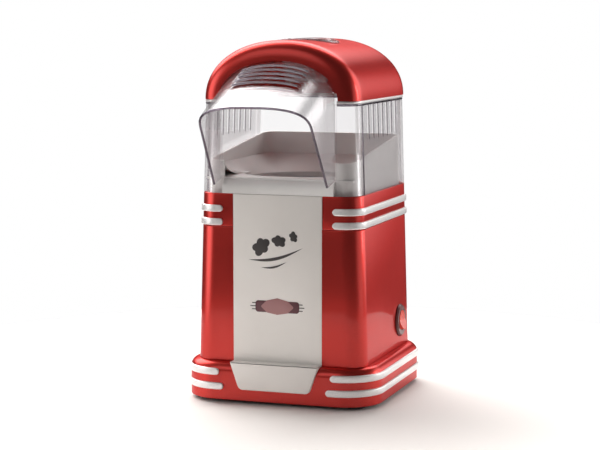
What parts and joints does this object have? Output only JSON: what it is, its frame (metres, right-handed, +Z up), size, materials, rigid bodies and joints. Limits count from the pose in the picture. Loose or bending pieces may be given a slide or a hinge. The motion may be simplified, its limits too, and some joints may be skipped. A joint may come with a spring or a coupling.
{
  "type": "hot-air popcorn maker",
  "caption": "Countertop hot-air popcorn maker: banded plinth and tapered column, clear enclosure with a pouring hood, arched lift-off lid with a measuring cup in its crown.",
  "frame": {"origin": "on the surface the rubber feet stand on, under the centre of the column", "axes": "+Z up, -Y towards the pouring hood at the front, +X to the right seen from the front, on the switch side"},
  "size_m": [0.1702, 0.2231, 0.3005],
  "materials": {
    "candy_red": "metallic candy-red lacquer, glossy",
    "silver_trim": "silver painted plastic, satin",
    "white_plastic": "warm white moulded plastic, semi-gloss",
    "clear_plastic": "clear polycarbonate, polished",
    "smoked_clear": "clear tinted polycarbonate",
    "black_plastic": "black moulded plastic, fine texture",
    "rubber_grey": "soft grey-black rubber",
    "switch_maroon": "dark maroon plastic",
    "switch_red": "translucent red plastic, lit from inside",
    "aluminium": "drawn aluminium, natural",
    "duct_plastic": "heat-resistant moulded plastic, grey",
    "mica": "pressed mica sheet",
    "steel": "plated steel",
    "ferrite": "dark ferrite",
    "fuse_white": "ceramic-coloured sleeve",
    "board_green": "green circuit board",
    "wire_sleeve": "silicone sleeve"
  },
  "bodies": {
    "base": {"base_plinth": "candy_red", "plinth_band_upper": "silver_trim", "plinth_band_lower": "silver_trim", "badge_plate": "white_plastic", "bottom_plate": "black_plastic", "rubber_feet": "rubber_grey", "case_screws": "steel", "lower_shell": "candy_red", "front_panel": "white_plastic", "cord_gland": "black_plastic", "switch_body": "switch_maroon", "chassis_plate": "black_plastic", "chassis_screws": "steel", "motor_bracket": "black_plastic", "motor_can": "steel", "motor_end_cap": "black_plastic", "motor_magnets": "ferrite", "motor_screws": "steel", "fan_housing": "black_plastic", "air_duct": "duct_plastic", "heater_frame": "mica", "heating_coil": "steel", "popping_chamber": "aluminium", "thermostat": "steel", "thermal_fuse": "fuse_white", "rectifier_board": "board_green", "internal_wires": "wire_sleeve"},
    "rotor": {"motor_shaft": "steel", "motor_armature": "steel", "fan_impeller": "black_plastic"},
    "rocker": {"switch_rocker": "switch_red"},
    "cover": {"upper_ring": "candy_red", "cover_band_upper": "silver_trim", "cover_band_lower": "silver_trim", "popcorn_chute": "white_plastic", "clear_front_cover": "clear_plastic", "clear_housing": "clear_plastic", "dome_trim": "silver_trim", "dome_cover": "candy_red"},
    "cup": {"measuring_cup": "smoked_clear"}
  },
  "joints": [
    {"name": "fan_spin", "type": "hinge", "parent": "base", "child": "rotor", "pos_m": [0, 0, 0.05], "axis": [0, 0, 1], "continuous": true},
    {"name": "switch_rock", "type": "hinge", "parent": "base", "child": "rocker", "pos_m": [0.0738, 0.037, 0.05703], "axis": [0, 1, 0], "range_deg": [0, 16]},
    {"name": "cover_lift", "type": "slide", "parent": "base", "child": "cover", "axis": [0, 0, 1], "range_m": [0, 0.13]},
    {"name": "cup_lift", "type": "slide", "parent": "cover", "child": "cup", "axis": [0, 0, 1], "range_m": [0, 0.06]}
  ]
}
